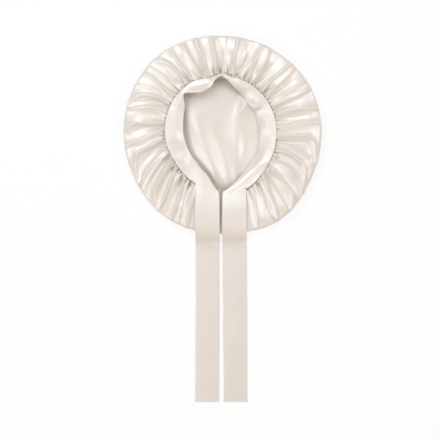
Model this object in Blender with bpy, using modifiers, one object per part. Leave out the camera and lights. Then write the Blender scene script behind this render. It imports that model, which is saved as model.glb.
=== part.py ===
"""A sleep bonnet of plain silk satin, lying flat with its opening up: a gathered crown, a band
round the opening and two long ties. Metres, +Z up, resting on Z = 0."""

import math
from collections import namedtuple

import bpy
import numpy as np

# Driving sizes of the crown, a bag of one round cloth that lies flat.
CROWN_RADIUS = 0.1625
CROWN_WALL = 0.0012
CREST_HEIGHT = 0.025  # the top layer's highest stretch, between seam and rim
RIM_HEIGHT = 0.0065  # the rim's outermost line
RIM_UNDERCUT = 0.011  # how far in from the rim the lower layer meets the surface
SEAM_HEIGHT = 0.019  # the gathered edge, at the top of the head
CREASE_DEPTH = 0.009  # the deepest valley between two gathers
CREASE_WIDTH = 0.0035  # half width of a valley at the seam
CREASE_SPREAD = 0.0075  # what that half width gains on the way to the rim
PUFF_HEIGHT = 0.0035  # how far the cloth between two valleys swells
SEAM_ALLOWANCE = 0.006  # the gathered edge's reach under the band
WAVE_HEIGHT = 0.0040  # the soft folds in the lower layer

# Driving sizes of the band and the ties, both a double layer of the same cloth.
BAND_THICKNESS = 0.0016
BAND_LIFT = 0.017  # the free inner edge's height at its plainest
TIE_WIDTH = 0.040
TIE_THICKNESS = 0.0014
TIE_LENGTH = 0.3465  # from the point where the band's ends meet
TIE_DROP = 0.016  # the tie comes down to the surface this far past the rim
TIE_REACH = 0.030  # a tie is held up by gathers this far to each side of its middle
LEFT_TIE_X = -0.0250
RIGHT_TIE_X = 0.0209
CLEARANCE = 0.0004  # between one piece and the next
HEAD_GAP = 0.0010  # between the band's end and the tie's head
TIE_CLEARANCE = 0.0008  # between a tie and the highest gathers under it

SATIN = (0.86, 0.81, 0.75, 1.0)

# Shares that shape the cloth.
CREASE_LEAN = 1.5  # above 1, a valley leans more near the seam than near the rim
CREASE_START = 0.10  # a valley is at its full depth this share of the way out
PUFF_START = 0.07  # and the cloth beside it has swelled by this share
PRESS = 4  # how sharply the gathers flatten where the ties press on the crown
TUCK_LIMIT = 0.5  # the gathered edge reaches no further across the band than this share
TUCK_SLOPE = 0.1  # it keeps this share of the band's rise clear below a sloping band
BAND_BOW = 0.05  # how far the band bows across, as a share of its width
BAND_END = 24.0  # the band blends into a tie's height over this many degrees
TIE_HEAD = 0.80  # the tie's support ends at this share of the seam's radius
TIE_CROWDING = 1.35  # above 1, a tie's rows crowd towards the crown
WAVE_END = 0.2  # a soft fold fades out over this share of its length past each end

# The gathered edge round the opening, counter-clockwise from +X: radius as a share of the crown's,
# height as a share of SEAM_HEIGHT, and how far the crown puffs there as a share of CREST_HEIGHT.
SeamPoint = namedtuple("SeamPoint", "deg radius height puff")
SEAM = [
    SeamPoint(-90, 0.606, 0.60, 0.74),
    SeamPoint(-67, 0.610, 0.66, 0.82),
    SeamPoint(-45, 0.569, 0.80, 0.95),
    SeamPoint(-19, 0.548, 0.90, 1.00),
    SeamPoint(2, 0.546, 0.95, 1.00),
    SeamPoint(27, 0.555, 0.95, 1.00),
    SeamPoint(50, 0.566, 0.95, 1.00),
    SeamPoint(70, 0.578, 1.00, 1.00),
    SeamPoint(90, 0.594, 1.05, 1.00),
    SeamPoint(104, 0.581, 1.00, 1.00),
    SeamPoint(120, 0.604, 1.00, 1.00),
    SeamPoint(139, 0.606, 1.00, 1.00),
    SeamPoint(160, 0.592, 0.95, 1.00),
    SeamPoint(184, 0.582, 0.90, 1.00),
    SeamPoint(212, 0.561, 0.84, 0.98),
    SeamPoint(241, 0.574, 0.68, 0.84),
]

# The valleys between the gathers, counter-clockwise: where each leaves the seam and where it would
# meet the rim, its depth as a share of CREASE_DEPTH and its reach as a share of the way to the rim.
Valley = namedtuple("Valley", "seam rim depth reach")
VALLEYS = [
    Valley(-61.0, -67.5, 0.45, 0.50),
    Valley(-54.0, -64.0, 1.00, 0.85),
    Valley(-48.5, -58.0, 0.40, 0.60),
    Valley(-41.0, -54.0, 1.00, 0.95),
    Valley(-35.0, -45.0, 0.35, 0.75),
    Valley(-27.5, -37.5, 0.80, 0.85),
    Valley(-20.5, -26.0, 0.55, 0.75),
    Valley(-13.5, -18.5, 0.50, 0.90),
    Valley(-8.0, -5.5, 0.95, 0.90),
    Valley(-0.5, 1.5, 0.40, 0.75),
    Valley(7.0, 12.0, 0.60, 0.75),
    Valley(15.0, 18.5, 0.70, 0.60),
    Valley(24.5, 25.5, 1.00, 0.95),
    Valley(31.0, 32.0, 0.35, 0.60),
    Valley(37.0, 39.0, 1.00, 0.95),
    Valley(44.0, 43.5, 0.55, 0.50),
    Valley(50.5, 48.5, 0.70, 0.50),
    Valley(57.0, 54.0, 1.00, 0.95),
    Valley(63.0, 62.0, 0.40, 0.85),
    Valley(69.0, 66.0, 0.55, 0.50),
    Valley(77.0, 71.0, 1.00, 0.95),
    Valley(84.0, 83.0, 0.40, 0.80),
    Valley(92.0, 93.0, 1.00, 0.85),
    Valley(98.5, 102.0, 0.50, 0.90),
    Valley(108.0, 112.0, 1.00, 0.97),
    Valley(116.0, 119.5, 0.55, 0.80),
    Valley(123.5, 128.0, 0.65, 0.97),
    Valley(129.0, 133.0, 0.45, 0.80),
    Valley(138.5, 139.5, 0.50, 0.90),
    Valley(144.5, 145.5, 0.55, 0.95),
    Valley(153.0, 162.0, 0.95, 0.97),
    Valley(161.0, 167.5, 0.50, 0.60),
    Valley(167.0, 172.0, 0.40, 0.65),
    Valley(173.0, 180.5, 1.00, 0.95),
    Valley(180.5, 189.0, 0.50, 0.75),
    Valley(187.5, 200.5, 1.00, 0.92),
    Valley(195.0, 208.5, 0.40, 0.70),
    Valley(202.5, 217.0, 1.00, 0.97),
    Valley(213.0, 226.0, 0.90, 0.80),
    Valley(219.5, 230.5, 0.40, 0.60),
    Valley(226.0, 236.0, 1.00, 0.97),
    Valley(232.0, 242.0, 0.40, 0.60),
    Valley(238.5, 248.0, 0.95, 0.92),
    Valley(249.0, 254.0, 0.40, 0.70),
    Valley(259.0, 262.0, 0.40, 0.70),
    Valley(270.0, 270.0, 0.40, 0.70),
    Valley(281.0, 278.0, 0.40, 0.70),
    Valley(290.0, 285.5, 0.50, 0.70),
]

# The band's sections from its right end round to its left one: the seam's angle, and the free inner
# edge's angle, its radius as a share of the crown's and its height as a share of BAND_LIFT.
BandSection = namedtuple("BandSection", "seam inner radius lift")
BAND = [
    BandSection(-67.4, -88.3, 0.589, 0.74),
    BandSection(-58.0, -78.0, 0.520, 0.60),
    BandSection(-50.0, -66.0, 0.458, 0.48),
    BandSection(-40.0, -50.0, 0.412, 0.44),
    BandSection(-25.0, -27.6, 0.395, 0.42),
    BandSection(-10.0, -9.5, 0.370, 0.42),
    BandSection(3.0, 6.4, 0.362, 0.42),
    BandSection(14.0, 20.0, 0.374, 0.44),
    BandSection(23.0, 31.0, 0.415, 0.52),
    BandSection(30.0, 41.0, 0.380, 0.74),
    BandSection(38.0, 50.0, 0.405, 0.66),
    BandSection(50.0, 61.0, 0.433, 0.60),
    BandSection(62.0, 70.0, 0.460, 0.80),
    BandSection(72.0, 77.5, 0.489, 1.10),
    BandSection(82.0, 84.0, 0.528, 1.50),
    BandSection(91.0, 91.0, 0.578, 1.86),
    BandSection(98.0, 97.2, 0.540, 1.70),
    BandSection(105.0, 103.0, 0.489, 1.30),
    BandSection(113.0, 110.4, 0.471, 1.15),
    BandSection(122.0, 118.8, 0.472, 1.15),
    BandSection(130.0, 127.6, 0.514, 1.25),
    BandSection(136.0, 134.6, 0.553, 1.35),
    BandSection(142.0, 143.0, 0.479, 1.20),
    BandSection(152.0, 153.0, 0.440, 1.05),
    BandSection(165.0, 165.0, 0.412, 0.98),
    BandSection(180.0, 180.0, 0.393, 0.92),
    BandSection(195.0, 193.6, 0.384, 0.84),
    BandSection(208.0, 206.8, 0.383, 0.74),
    BandSection(220.0, 218.7, 0.385, 0.64),
    BandSection(230.0, 234.9, 0.404, 0.58),
    BandSection(236.0, 252.0, 0.458, 0.60),
    BandSection(241.3, 266.4, 0.589, 0.74),
]

# The soft folds of the lower layer, seen through the opening: the two ends of each one's ridge and its
# half width as shares of CROWN_RADIUS, and its rise as a share of WAVE_HEIGHT.
Wave = namedtuple("Wave", "x0 y0 x1 y1 width rise")
WAVES = [
    Wave(-0.07, -0.44, -0.27, 0.20, 0.090, 1.00),
    Wave(0.12, -0.40, 0.13, 0.38, 0.100, 0.85),
    Wave(0.34, -0.16, 0.32, 0.10, 0.070, 0.55),
]

# Rows of the top layer, from the seam (0) to the rim (1), and its height there as a share of the way
# from the seam's height to the crest's, or from the rim's height once past the crest.
TopRow = namedtuple("TopRow", "out rise")
TOP_ROWS = [
    TopRow(0.00, 0.00),
    TopRow(0.07, 0.32),
    TopRow(0.17, 0.64),
    TopRow(0.32, 0.92),
    TopRow(0.50, 1.00),
    TopRow(0.68, 0.97),
    TopRow(0.82, 0.84),
    TopRow(0.92, 0.62),
    TopRow(0.98, 0.30),
    TopRow(1.00, 0.00),
]
CREST_ROW = 4
CLEAR_ROW = 1  # the ties lie on the crown from this row outwards
UNDER_ROWS = ((0.28, 0.22), (1.0, 0.0))  # round the rim: shares of RIM_UNDERCUT and of RIM_HEIGHT
LOWER_ROWS = (0.80, 0.62, 0.46, 0.30, 0.15)  # shares of the crown's radius
LOWER_COLUMN_SHARE = 4  # upper columns for each column of the lower layer
SHOULDERS = (0.0, 0.34, 0.66)  # where a gather's columns stand between its two valleys
BAND_COLUMNS = 96
BAND_ROWS = (0.0, 0.25, 0.55, 0.85, 1.0)  # shares of the way from the seam to the free edge
TIE_ROWS = 44
TIE_COLUMNS = 4
HEAD_ROWS = 6  # rows of a tie that turn from its slanting head to straight across


def ease(x):
    """A smooth step from 0 to 1."""
    x = np.clip(x, 0.0, 1.0)
    return x * x * (3 - 2 * x)


def through(at, values, x):
    """A smooth curve through the given values: cubic between each two, with averaged slopes."""
    at, values, x = np.asarray(at, float), np.asarray(values, float), np.asarray(x, float)
    slope = np.gradient(values, at)
    i = np.clip(np.searchsorted(at, x, side="right") - 1, 0, len(at) - 2)
    step = at[i + 1] - at[i]
    t = (x - at[i]) / step
    return (
        values[i] * (1 + 2 * t) * (1 - t) ** 2
        + values[i + 1] * t * t * (3 - 2 * t)
        + step * (slope[i] * t * (1 - t) ** 2 - slope[i + 1] * t * t * (1 - t))
    )


def round_seam(column, deg):
    """A column of SEAM at any angle; the table is repeated on both sides to close the ring."""
    at = np.array([p.deg for p in SEAM], float)
    values = np.array([getattr(p, column) for p in SEAM], float)
    at = np.concatenate([at - 360, at, at + 360])
    return through(at, np.tile(values, 3), deg)


def seam_radius(deg):
    return CROWN_RADIUS * round_seam("radius", deg)


def seam_height(deg):
    return SEAM_HEIGHT * round_seam("height", deg)


def on_circle(deg, radius):
    angle = np.radians(deg)
    return radius * np.cos(angle), radius * np.sin(angle)


def valley_line(valley, out):
    """The angle of a valley at a share of the way out; it leans early and straightens later."""
    lean = 1 - (1 - out) ** CREASE_LEAN
    return valley.seam + (valley.rim - valley.seam) * lean


def valley_fade(valley, out):
    """How deep a valley is at a share of the way out: nothing at the stitches, most just past them."""
    return ease(out / CREASE_START) * np.clip(1 - (out / valley.reach) ** 2, 0, None)


def smooth_top(deg, place):
    """The top layer's height without its gathers, at one of TOP_ROWS."""
    crest = CREST_HEIGHT * round_seam("puff", deg)
    low = seam_height(deg) if place < CREST_ROW else RIM_HEIGHT
    return low + (crest - low) * TOP_ROWS[place].rise


def top_layer():
    """The top layer's outer surface, as an array of rows by columns by XYZ: its columns follow the
    valleys, and the cloth between two valleys stands up as a soft pleat."""
    rows = []
    for place, row in enumerate(TOP_ROWS):
        columns = []
        for here, beyond in zip(VALLEYS, VALLEYS[1:] + VALLEYS[:1]):
            if beyond.seam < here.seam:
                beyond = beyond._replace(seam=beyond.seam + 360, rim=beyond.rim + 360)
            first, last = valley_line(here, row.out), valley_line(beyond, row.out)
            for share in SHOULDERS:
                deg = first + (last - first) * share
                radius = seam_radius(deg) + (CROWN_RADIUS - seam_radius(deg)) * row.out
                across = math.radians(last - first) * radius
                width = CREASE_WIDTH + CREASE_SPREAD * row.out
                dip = here.depth * valley_fade(here, row.out) * math.exp(-share * across / width)
                dip += beyond.depth * valley_fade(beyond, row.out) * math.exp((share - 1) * across / width)
                puff = PUFF_HEIGHT * 4 * share * (1 - share) * ease(row.out / PUFF_START) * (1 - row.out)
                pressed = round_seam("puff", deg) ** PRESS
                height = smooth_top(deg, place) + pressed * (puff - CREASE_DEPTH * dip)
                columns.append((*on_circle(deg, radius), height))
        rows.append(columns)
    return np.array(rows)


def tie_path(top, tie_x):
    """A tie's underside along Y, as arrays of Y and Z: drawn taut over the crown below it like the
    upper hull of the crown's points, then down to the surface just past the rim."""
    points = top.reshape(-1, 3)
    under = points[(abs(points[:, 0] - tie_x) < TIE_REACH) & (points[:, 1] < 0)]
    head_y = -seam_radius(270.0) * TIE_HEAD
    landing = (-CROWN_RADIUS - TIE_DROP, 0.0)
    ordered = sorted({(y, z + TIE_CLEARANCE) for _, y, z in under.tolist()} | {landing})
    hull = []
    for y, z in ordered:
        while len(hull) > 1 and turns_up(hull[-2], hull[-1], (y, z)):
            hull.pop()
        hull.append((y, z))
    peak = max(range(len(hull)), key=lambda k: hull[k][1])
    hull = hull[: peak + 1] + [(y, z) for y, z in hull[peak + 1 :] if y < head_y]
    head_z = seam_height(270.0) + TIE_CLEARANCE
    ys = np.array([y for y, _ in hull] + [max(head_y, hull[-1][0] + CLEARANCE)])
    zs = np.array([z for _, z in hull] + [head_z])
    return ys, zs


def turns_up(a, b, c):
    """Whether b lies on or under the straight line from a to c, all (Y, Z)."""
    return (b[0] - a[0]) * (c[1] - a[1]) - (b[1] - a[1]) * (c[0] - a[0]) >= 0


def tie_height(path, y):
    """The tie's middle surface at Y."""
    ys, zs = path
    return np.interp(y, ys, zs, left=0.0) + TIE_THICKNESS / 2


def band_section(deg, paths):
    """The band's middle surface at a seam angle: its seam point and its free inner point. Its two ends
    take their heights from the ties that run on from them."""
    at = [s.seam for s in BAND]
    inner_deg = through(at, [s.inner for s in BAND], deg)
    inner_radius = CROWN_RADIUS * through(at, [s.radius for s in BAND], deg)
    lift = BAND_LIFT * through(at, [s.lift for s in BAND], deg)
    outer = np.array([*on_circle(deg, seam_radius(deg)), 0.0])
    inner = np.array([*on_circle(inner_deg, inner_radius), 0.0])
    outer[2] = seam_height(deg) + CLEARANCE + BAND_THICKNESS / 2
    inner[2] = max(lift, BAND_THICKNESS)
    left = deg > 90
    near = 1 - ease((BAND[-1].seam - deg if left else deg - BAND[0].seam) / BAND_END)
    for point in (outer, inner):
        at_tie = tie_height(paths["left" if left else "right"], point[1])
        point[2] += (max(at_tie, point[2]) - point[2]) * near
    return outer, inner


def tucked_edge(columns, paths):
    """The crown's gathered edge, tucked under the band by the seam allowance."""
    edge = []
    for x, y, z in columns:
        deg = math.degrees(math.atan2(y, x))
        deg += 360 if deg < BAND[0].seam else 0
        if deg > BAND[-1].seam:
            shrink = 1 - SEAM_ALLOWANCE / math.hypot(x, y)
            edge.append((x * shrink, y * shrink, z))
            continue
        outer, inner = band_section(deg, paths)
        across = inner - outer
        share = min(SEAM_ALLOWANCE / np.linalg.norm(across), TUCK_LIMIT)
        tucked = outer + across * share
        below = BAND_THICKNESS / 2 + CLEARANCE + abs(across[2]) * TUCK_SLOPE
        edge.append((tucked[0], tucked[1], min(z, tucked[2] - below)))
    return np.array(edge)


def wave_height(x, y):
    """How far the lower layer's soft folds stand off the surface."""
    height = 0.0
    for wave in WAVES:
        start = np.array((wave.x0, wave.y0)) * CROWN_RADIUS
        along = np.array((wave.x1, wave.y1)) * CROWN_RADIUS - start
        share = np.clip(np.dot((x, y) - start, along) / np.dot(along, along), -WAVE_END, 1 + WAVE_END)
        away = np.linalg.norm((x, y) - start - along * share) / (wave.width * CROWN_RADIUS)
        past = max(0.0, abs(share - 0.5) - 0.5) / WAVE_END
        height += WAVE_HEIGHT * wave.rise * math.exp(-away * away) * (1 - ease(past))
    return height


def add_rows(vertices, faces, points, before):
    """Appends a ring of points and the faces that join it to the ring before, and returns it. A ring
    with fewer points is joined by fans."""
    ring = list(range(len(vertices), len(vertices) + len(points)))
    vertices.extend(map(tuple, points))
    if before is not None:
        fan = len(before) // len(ring)
        for k, corner in enumerate(ring):
            following = ring[(k + 1) % len(ring)]
            base = [before[(k * fan + j) % len(before)] for j in range(fan + 1)]
            half = fan // 2
            if fan == 1:
                faces.append((corner, following, base[1], base[0]))
                continue
            for j in range(half):
                faces.append((corner, base[j + 1], base[j]))
            faces.append((corner, following, base[half]))
            for j in range(half, fan):
                faces.append((following, base[j + 1], base[j]))
    return ring


def crown_surface(top, paths):
    """The bag's outer surface from the gathered edge over the top, round the rim and under to the
    middle of the lower layer."""
    vertices, faces = [], []
    ring = add_rows(vertices, faces, tucked_edge(top[0], paths), None)
    for row in top:
        ring = add_rows(vertices, faces, row, ring)
    angles = np.degrees(np.arctan2(top[-1][:, 1], top[-1][:, 0]))
    for inset, height in UNDER_ROWS:
        x, y = on_circle(angles, CROWN_RADIUS - RIM_UNDERCUT * inset)
        ring = add_rows(vertices, faces, np.c_[x, y, np.full(len(x), RIM_HEIGHT * height)], ring)
    coarse = angles[::LOWER_COLUMN_SHARE]
    for share in LOWER_ROWS:
        x, y = on_circle(coarse, CROWN_RADIUS * share)
        z = [wave_height(*p) if share < LOWER_ROWS[0] else 0.0 for p in zip(x, y)]
        ring = add_rows(vertices, faces, np.c_[x, y, z], ring)
    vertices.append((0.0, 0.0, wave_height(0.0, 0.0)))
    for k, corner in enumerate(ring):
        faces.append((len(vertices) - 1, ring[(k + 1) % len(ring)], corner))
    return vertices, faces


def strip_surface(rows):
    """The vertices and faces of an open strip from an array of rows by columns by XYZ."""
    down, across = rows.shape[:2]
    faces = []
    for i in range(down - 1):
        for j in range(across - 1):
            corner = i * across + j
            faces.append((corner, corner + 1, corner + across + 1, corner + across))
    return [tuple(p) for p in rows.reshape(-1, 3)], faces


def band_surface(paths):
    """The band, section by section from its right end to its left one."""
    sections = []
    for deg in np.linspace(BAND[0].seam, BAND[-1].seam, BAND_COLUMNS):
        outer, inner = band_section(deg, paths)
        bow = BAND_BOW * np.linalg.norm(inner - outer)
        rows = []
        for share in BAND_ROWS:
            point = outer + (inner - outer) * share
            point[2] += bow * 4 * share * (1 - share)
            rows.append(point)
        sections.append(rows)
    return strip_surface(np.array(sections))


def tie_surface(side, tie_x, path, paths):
    """One tie: its head takes the slant of the band's end, and it runs straight down from there."""
    outer, inner = band_section((BAND[-1] if side < 0 else BAND[0]).seam, paths)
    end_y = inner[1] - TIE_LENGTH
    edges = (outer, inner) if side < 0 else (inner, outer)
    rows = []
    for i in range(TIE_ROWS):
        share = (i / (TIE_ROWS - 1)) ** TIE_CROWDING
        turned = ease(i / HEAD_ROWS)
        row = []
        for j in range(TIE_COLUMNS + 1):
            across = j / TIE_COLUMNS
            head = edges[0] + (edges[1] - edges[0]) * across
            y = head[1] - HEAD_GAP + (end_y - head[1] + HEAD_GAP) * share
            straight_x = tie_x + TIE_WIDTH * (across - 0.5)
            x = head[0] + (straight_x - head[0]) * turned
            z = max(tie_height(path, y), head[2] if i == 0 else 0.0)
            row.append((x, y, z))
        rows.append(row)
    return strip_surface(np.array(rows))


def satin(name):
    """Ivory satin for one piece."""
    material = bpy.data.materials.new(name + "_satin")
    material.use_nodes = True
    shader = material.node_tree.nodes["Principled BSDF"]
    shader.inputs["Base Color"].default_value = SATIN
    shader.inputs["Roughness"].default_value = 0.38
    shader.inputs["Metallic"].default_value = 0.0
    return material


def cloth_object(name, surface, thickness, offset, collection, parent):
    """A piece of cloth: an open surface given its wall by Solidify."""
    mesh = bpy.data.meshes.new(name)
    mesh.from_pydata(surface[0], [], surface[1])
    mesh.materials.append(satin(name))
    mesh.shade_smooth()
    piece = bpy.data.objects.new(name, mesh)
    collection.objects.link(piece)
    piece.parent = parent
    wall = piece.modifiers.new("wall", "SOLIDIFY")
    wall.thickness = thickness
    wall.offset = offset
    return piece


def main():
    for old in list(bpy.data.objects):
        bpy.data.objects.remove(old)
    collection = bpy.data.collections.new("sleep_bonnet")
    bpy.context.scene.collection.children.link(collection)

    top = top_layer()
    outside = top[CLEAR_ROW:]
    paths = {"left": tie_path(outside, LEFT_TIE_X), "right": tie_path(outside, RIGHT_TIE_X)}
    meeting = band_section(BAND[-1].seam, paths)[1][1]

    middle = bpy.data.objects.new("crown_middle", None)
    middle.location = (0.0, (TIE_LENGTH - meeting - CROWN_RADIUS) / 2, 0.0)
    collection.objects.link(middle)

    cloth_object("crown", crown_surface(top, paths), CROWN_WALL, -1, collection, middle)
    cloth_object("band", band_surface(paths), BAND_THICKNESS, 0, collection, middle)
    for name, side, tie_x in (("tie_left", -1, LEFT_TIE_X), ("tie_right", 1, RIGHT_TIE_X)):
        path = paths["left" if side < 0 else "right"]
        surface = tie_surface(side, tie_x, path, paths)
        cloth_object(name, surface, TIE_THICKNESS, 0, collection, middle)


main()
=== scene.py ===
"""The looks of a satin sleep bonnet that lies flat with its opening up: a gathered crown, a band
round the opening and two long ties, seen from straight above."""

import math
from collections import namedtuple

import bpy
import numpy as np
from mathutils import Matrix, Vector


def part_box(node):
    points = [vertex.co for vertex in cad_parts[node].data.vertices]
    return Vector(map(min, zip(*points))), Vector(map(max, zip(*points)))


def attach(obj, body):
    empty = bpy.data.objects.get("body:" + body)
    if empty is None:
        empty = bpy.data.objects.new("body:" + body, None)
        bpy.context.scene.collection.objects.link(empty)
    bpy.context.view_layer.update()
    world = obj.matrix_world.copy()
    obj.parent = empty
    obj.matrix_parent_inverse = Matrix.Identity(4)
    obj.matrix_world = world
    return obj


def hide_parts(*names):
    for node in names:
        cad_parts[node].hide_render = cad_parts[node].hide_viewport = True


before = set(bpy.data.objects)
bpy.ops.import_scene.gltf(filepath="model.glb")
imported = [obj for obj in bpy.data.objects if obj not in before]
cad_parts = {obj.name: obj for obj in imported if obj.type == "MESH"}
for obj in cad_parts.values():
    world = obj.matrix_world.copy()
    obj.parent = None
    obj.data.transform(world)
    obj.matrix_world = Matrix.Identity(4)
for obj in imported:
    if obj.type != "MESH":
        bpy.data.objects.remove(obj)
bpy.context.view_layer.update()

# Sizes from the frame, in metres.
CROWN_LOW, CROWN_HIGH = (np.array(corner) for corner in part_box("crown"))
CENTRE = (CROWN_LOW + CROWN_HIGH)[:2] / 2
RADIUS = (CROWN_HIGH - CROWN_LOW)[0] / 2
TIES_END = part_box("tie_left")[0][1] - CENTRE[1]

# The crown: heights of its seam, crest and rim, how far the rim is undercut, the lowest that its upper
# layer comes, the cloth's thickness and the room between two pieces, in metres.
SEAM_HEIGHT = 0.0185
CREST_HEIGHT = 0.0235
RIM_HEIGHT = 0.0062
RIM_UNDERCUT = 0.011
LOWEST_TOP = 0.0030
CLOTH = 0.0005
CLEARANCE = 0.0004

# The gathered edge: how far it is tucked in under the band, and how far its two rows drop, in metres.
TUCK = 0.006
TUCK_DROP = 0.0012
TUCK_UNDER_DROP = 0.0030

# Valleys of the gathers: their depth at the seam in metres and how much of it is lost on the way out,
# how sharp their creases are, and the share of their width at the seam and how much it grows.
CREASE_DEPTH = 0.0092
CREASE_LOST = 0.82
CREASE_CUSP = 0.55
CREASE_WIDTH = 0.32
CREASE_WIDENS = 1.05

# Ridges of the gathers, in metres: the rise of the cloth beside one, its own height, its reach to the
# sides and its rounding. HOOK_FROM is the share of the way out from which it hooks along the rim, and
# SEAM_SHARE about the seam's radius as a share of the rim's.
RIDGE_RISE = 0.0012
RIDGE_HEIGHT = 0.0033
RIDGE_REACH = 0.0025
RIDGE_ROUND = 0.0009
HOOK_FROM = 0.66
SEAM_SHARE = 0.58

# Panels between two ridges: their sag as a share of the ridges' distance, up to WIDEST_PANEL metres,
# and how far and towards which angle the lowest line leans.
PANEL_SAG = 0.075
WIDEST_PANEL = 0.034
PANEL_LEAN = 0.38
LEAN_FROM = 126

# Puckers at the stitches: depth in metres, ranges in degrees of their distance, half width and lean,
# the range of their strength, and their least reach and what is added to it at most. Here and below a
# SEED starts a piece's random numbers.
PUCKER_SEED = 7
PUCKER_DEPTH = 0.0060
PUCKER_APART = (2.6, 5.2)
PUCKER_HALF = (0.42, 0.80)
PUCKER_LEAN = (-3.0, 3.0)
PUCKER_STRENGTH = (0.45, 1.0)
PUCKER_REACH = 0.10
PUCKER_REACH_MORE = 0.30
PUCKER_TRIES = 300

# A bead of cloth beyond the stitches: its rise in metres, its place and half width as shares of the
# way out.
BEAD_RISE = 0.0011
BEAD_AT = 0.05
BEAD_HALF = 0.035

# Soft ripples of the upper layer and fine streaks that run outwards: height and scale in metres.
# The streaks are read from a ring of STREAK_RING metres, drawn aside by STREAK_SLANT on the way out.
RIPPLE_SEED = 3
RIPPLE_HEIGHT = 0.0004
RIPPLE_SCALE = 0.045
STREAK_SEED = 5
STREAK_HEIGHT = 0.00020
STREAK_SCALE = 0.013
STREAK_RING = 0.125
STREAK_SLANT = (0.010, -0.014)

# How far the rim swells outwards at a ridge, as a share of the ridge's relief there, and the share of
# all relief that is left at the very rim.
RIM_SWELL = 0.22
RIM_RELIEF = 0.60

# Under the ties: the share of the hollows that is left, and in metres half the width that they press
# flat, how far the rim dips there, and the groove at the gap between them.
TIES_HOLLOWS = 0.4
TIES_HALF_WIDTH = 0.043
TIES_DIP = 0.0015
GAP_X = -0.0023
GAP_WIDTH = 0.0032
GAP_DEPTH = 0.0032

# The lower layer, in metres: the height of its soft folds, how far from the band's free edge it comes
# up to it, and how far beyond that edge it stays up and comes down again. It does so between the angles
# of REST_SIDE, eased over REST_FADE. From FLAT_FROM of RADIUS outwards it is flat, eased over FLAT_FADE.
WAVE_HEIGHT = 0.0095
REST_WIDTH = 0.020
REST_BEYOND = 0.030
REST_FALL = 0.020
REST_SIDE = (-80, 68)
REST_FADE = (25, 18)
FLAT_FROM = 0.85
FLAT_FADE = 0.2

# The band and the ties, in metres: thickness, the height that BAND's lifts are shares of, and the
# distance over which their heights are evened out. BAND_END is in degrees, from each end of the band,
# where it comes down to the tie.
STRIP_THICKNESS = 0.0012
BAND_LIFT = 0.017
LEVEL_OVER = 0.010
BAND_END = 24

# The strip's two layers, in metres: the bow of the ties and what the band's adds, soft swells and their
# scale, the pulls from the stitches, and the sewn line at HEM_AT from each tie's end.
TIE_BOW = 0.0003
BAND_BOW = 0.0013
SWELL_SEED = 31
SWELL_HEIGHT = 0.0011
SWELL_SCALE = 0.026
PULL_SEED = 21
PULL_HEIGHT = 0.00040
PULLS = 150
HEM_AT = 0.009
HEM_HALF = 0.0014
HEM_DEPTH = 0.0004

# A puffed patch of the band: its middle, size and rise in metres, the way in which it is fullest, and
# how uneven it is, over a scale in metres.
PUFF_SEED = 11
PUFF_AT = (0.0500, 0.0490)
PUFF_SIZE = 0.0102
PUFF_LENGTHEN = 1.15
PUFF_RISE = 0.0044
PUFF_TOWARDS = (0.47, -0.88)
PUFF_UNEVEN = 0.15
PUFF_SCALE = 0.012

# Satin: the same for all pieces. Light and dark are shares of its colour, for slubs and patches. Below
# INSIDE_BELOW metres, in the bag, its colour moves by INSIDE_PAINTED_SHADE towards the deep end of its
# ramp: this is painted shade, darker and warmer low in the bag.
SATIN_METALLIC = 0.06
SATIN_IOR = 2.2
SATIN_LIGHT = 1.03
SATIN_DARK = 0.955
INSIDE_BELOW = 0.0085
INSIDE_BLEND = 0.003
INSIDE_ROUGHNESS = 0.40
INSIDE_PAINTED_SHADE = 0.35

# Mesh density.
COLUMNS = 1200
TOP_ROWS = 46
RIM_ROWS = 8
LOWER_COLUMNS = 300
LOWER_ROWS = 26
BAND_STATIONS = 520
TIE_STATIONS = 150
STRIP_POINTS = 17

# The camera's frame is PHOTO_SIZE pixels of PIXEL metres, looked at from straight above, with the
# crown's middle at PHOTO_CENTRE. Its sensor is in millimetres, its height in metres.
PIXEL = 0.00165
PHOTO_SIZE = 440
PHOTO_CENTRE = (222.5, 134.0)
CAMERA_HEIGHT = 3.2
SENSOR = 36.0

# The floor, in metres, and its grey and glow.
FLOOR_REACH = 6.0
FLOOR_GREY = 0.12
FLOOR_GLOW = 0.84

# The gathered edge round the opening, counter-clockwise from +X: its radius as a share of RADIUS, its
# height as a share of SEAM_HEIGHT, how far the crown puffs there as a share of CREST_HEIGHT, and how
# deep its gathers are there.
Seam = namedtuple("Seam", "deg radius height puff depth")
SEAM = [
    Seam(-90, 0.606, 0.60, 0.74, 1.00),
    Seam(-67, 0.610, 0.66, 0.82, 1.00),
    Seam(-45, 0.569, 0.80, 0.95, 1.00),
    Seam(-19, 0.548, 0.90, 1.00, 0.95),
    Seam(2, 0.546, 0.95, 1.00, 0.90),
    Seam(27, 0.555, 0.95, 1.00, 0.90),
    Seam(50, 0.566, 0.95, 1.00, 1.05),
    Seam(70, 0.578, 1.00, 1.00, 1.10),
    Seam(90, 0.594, 1.05, 1.00, 1.15),
    Seam(104, 0.581, 1.00, 1.00, 1.15),
    Seam(120, 0.604, 1.00, 1.00, 1.10),
    Seam(139, 0.606, 1.00, 1.00, 1.00),
    Seam(160, 0.592, 0.95, 1.00, 1.00),
    Seam(184, 0.582, 0.90, 1.00, 1.05),
    Seam(212, 0.561, 0.84, 0.98, 1.25),
    Seam(241, 0.574, 0.68, 0.84, 1.25),
]

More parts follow.
